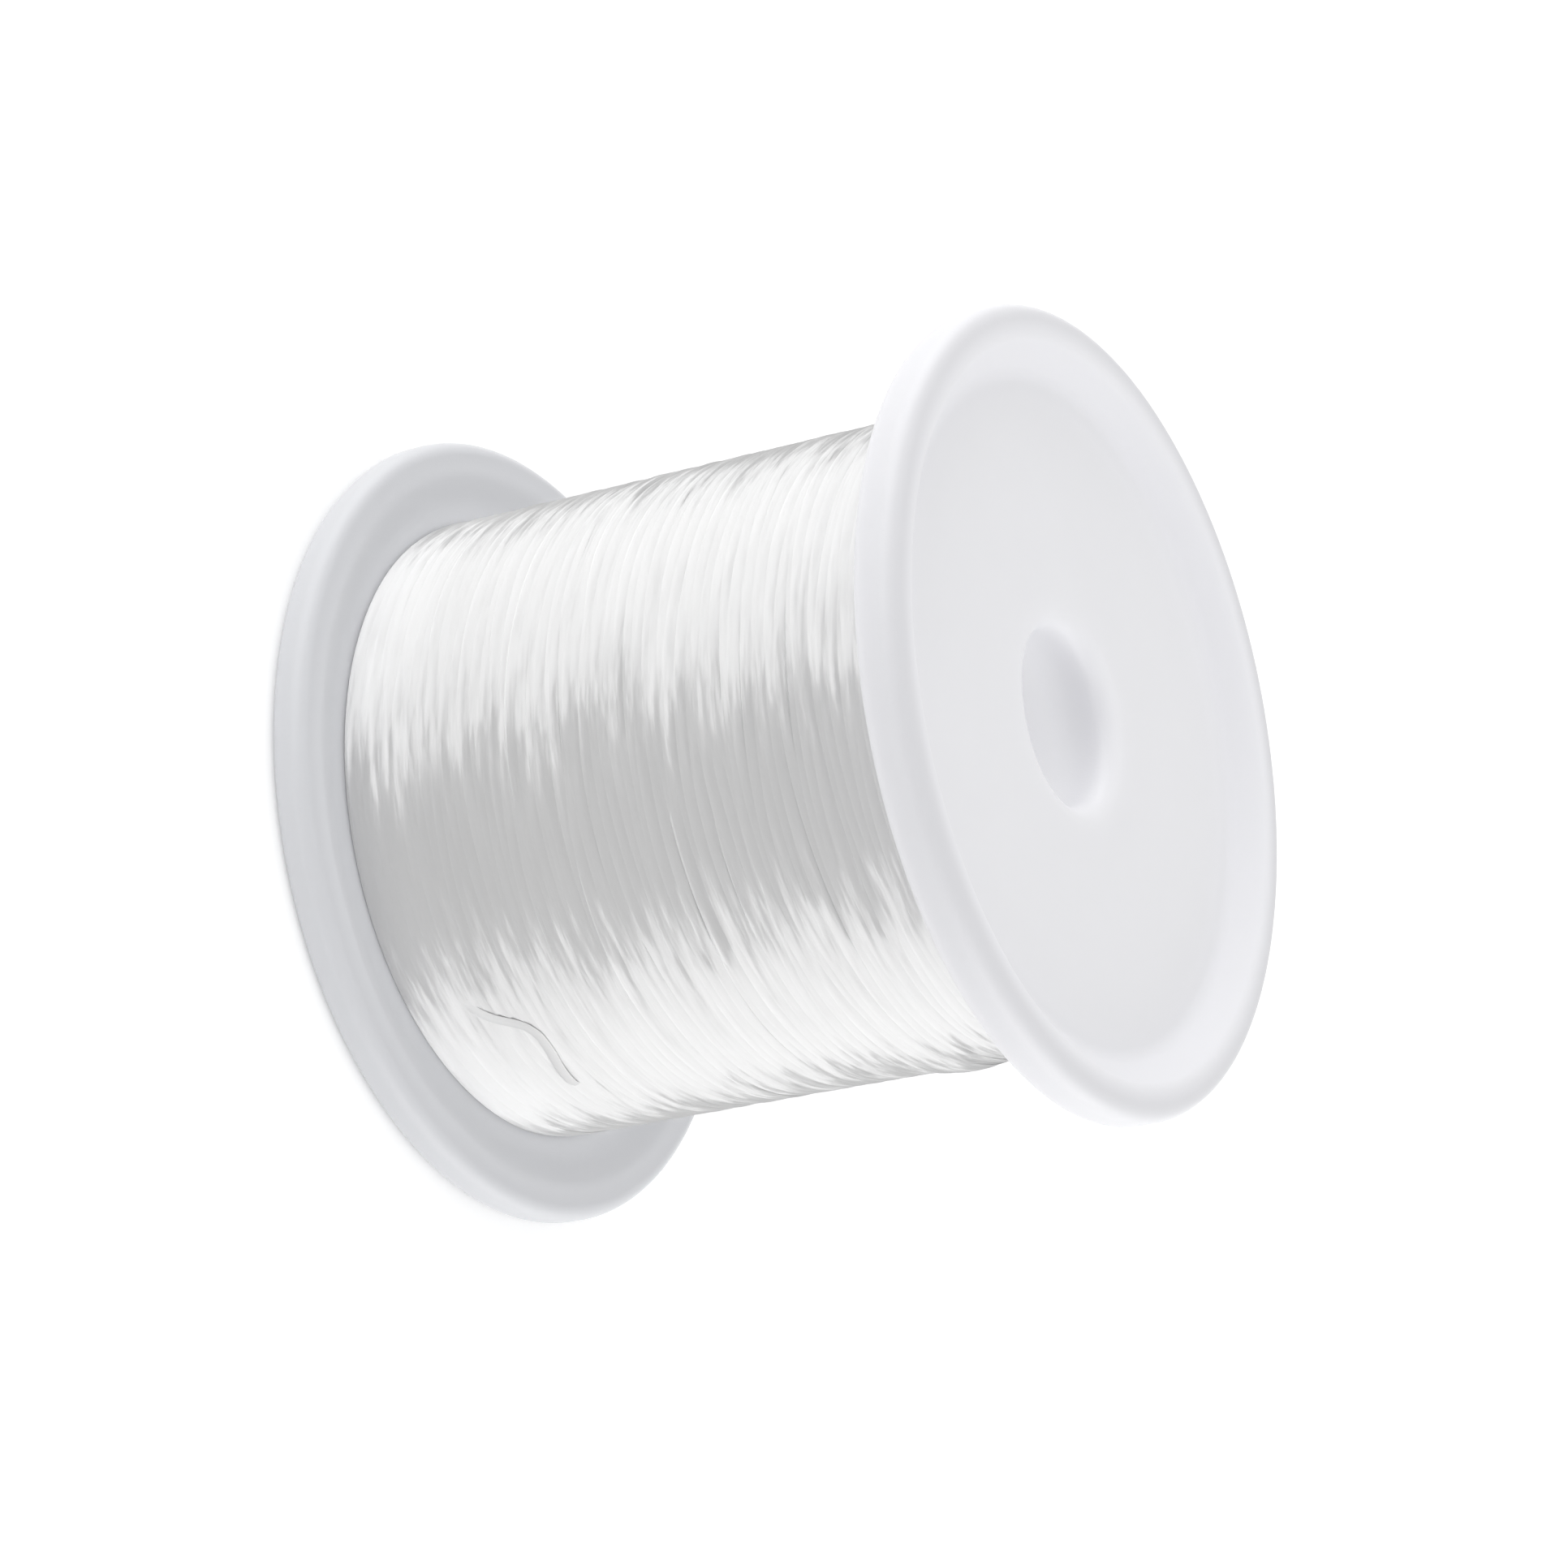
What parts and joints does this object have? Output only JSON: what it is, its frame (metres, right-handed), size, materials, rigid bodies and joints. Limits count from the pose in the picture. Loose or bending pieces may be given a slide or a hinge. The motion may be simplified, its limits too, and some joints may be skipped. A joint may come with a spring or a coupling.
{
  "type": "fishing line spool",
  "caption": "Small white plastic spool wound full of clear nylon fishing line, with two thin flanges and a through bore.",
  "frame": {"origin": "middle of the lower face of the rear flange's rim, which the spool stands on", "axes": "+Z along the spool's axis, from the rear flange to the front flange; the line's loose end lies towards +X and -Y"},
  "size_m": [0.033, 0.033, 0.0285],
  "materials": {
    "flange_plastic": "milky, slightly see-through moulded polypropylene",
    "line_nylon": "clear drawn nylon monofilament, glossy"
  },
  "bodies": {
    "root": {"front_flange_and_spigot": "flange_plastic", "rear_flange_and_barrel": "flange_plastic", "line_winding": "line_nylon", "line_loose_end": "line_nylon"}
  },
  "joints": []
}
